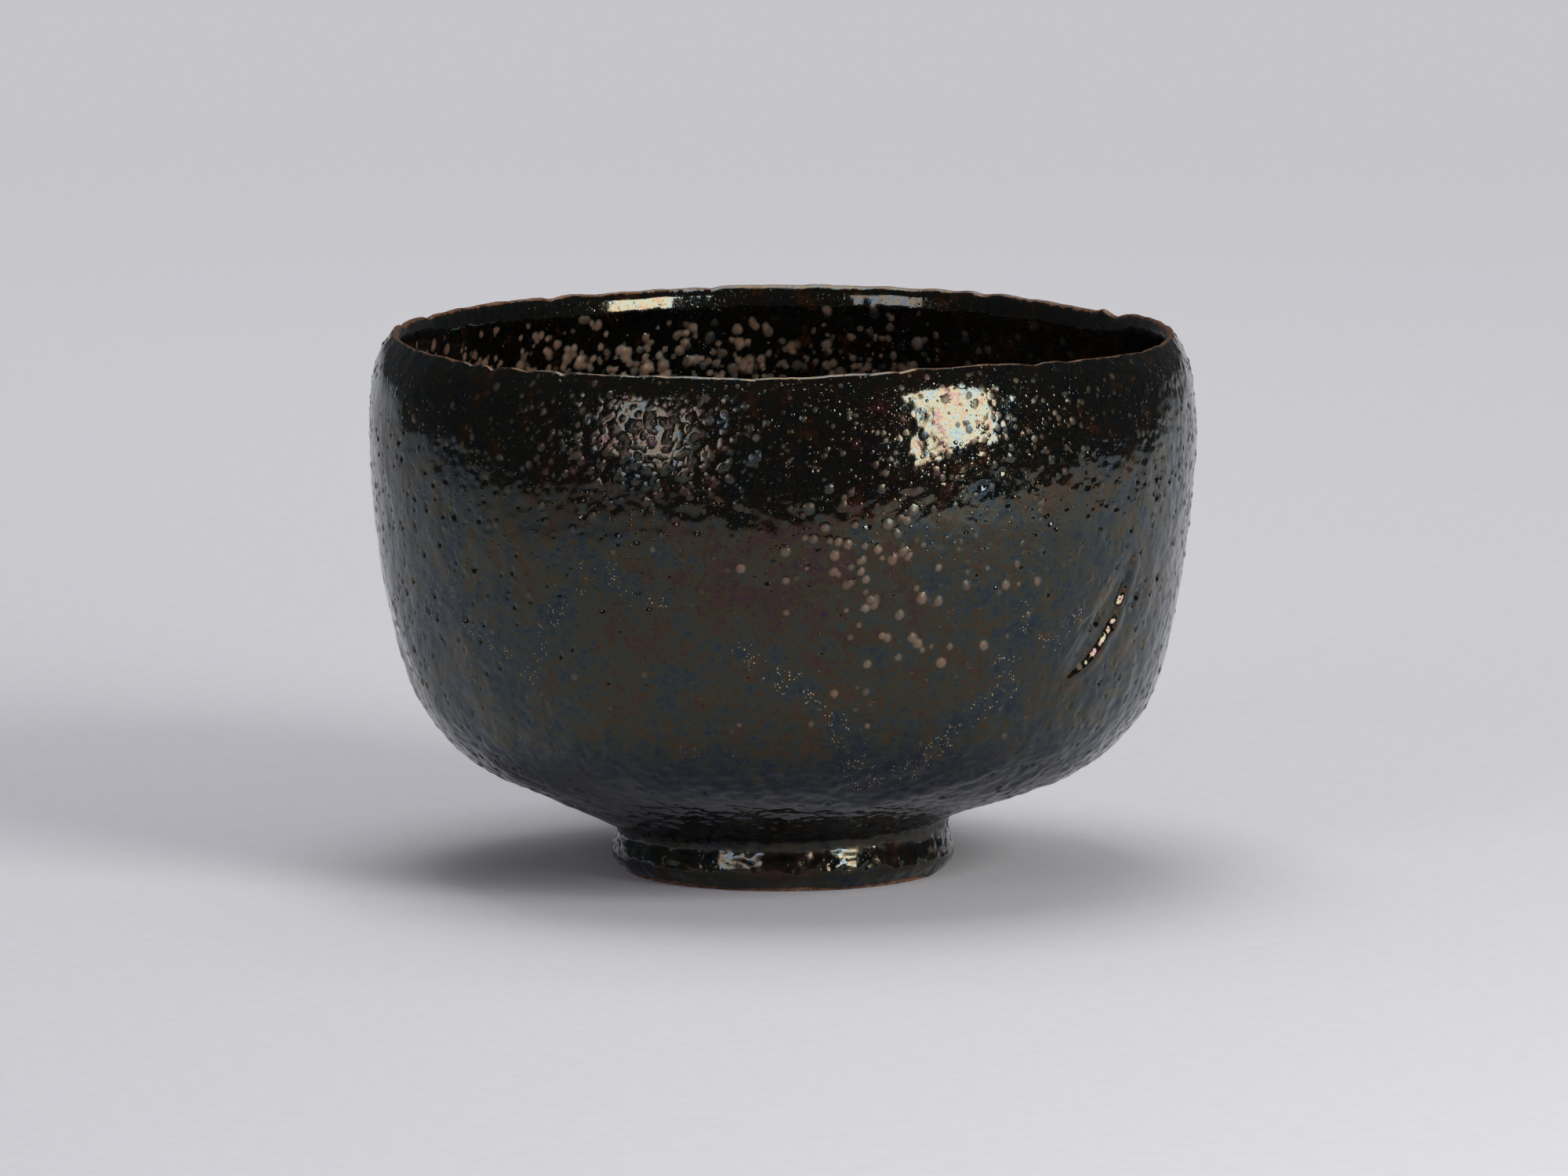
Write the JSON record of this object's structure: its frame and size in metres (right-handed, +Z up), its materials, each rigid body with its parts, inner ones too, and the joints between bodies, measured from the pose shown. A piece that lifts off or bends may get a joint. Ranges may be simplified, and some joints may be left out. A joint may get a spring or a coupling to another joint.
{
  "type": "tea bowl",
  "caption": "Deep hand-formed bowl for whisked tea, with a broad belly, an inward-turned wavy lip, a low carved foot ring and a thick black glaze.",
  "frame": {"origin": "middle of the foot ring, on the table", "axes": "+Z up through the middle of the foot; -Y is the front of the bowl, the side that faces the guest"},
  "size_m": [0.1217, 0.1202, 0.0804],
  "materials": {
    "bare_clay": "bare fired clay, matt, orange-brown, sandy",
    "outer_glaze": "thick glossy black glaze, pebbled and pitted, with faint blue, olive and brown iridescence",
    "inner_glaze": "glossy black glaze with dense tan and brown flecks on the wall",
    "recess_glaze": "glossy black glaze, thinner and browner at the edge"
  },
  "bodies": {
    "root": {"clay_body": "bare_clay", "outer_glaze": "outer_glaze", "inner_glaze": "inner_glaze", "foot_recess_glaze": "recess_glaze"}
  },
  "joints": []
}
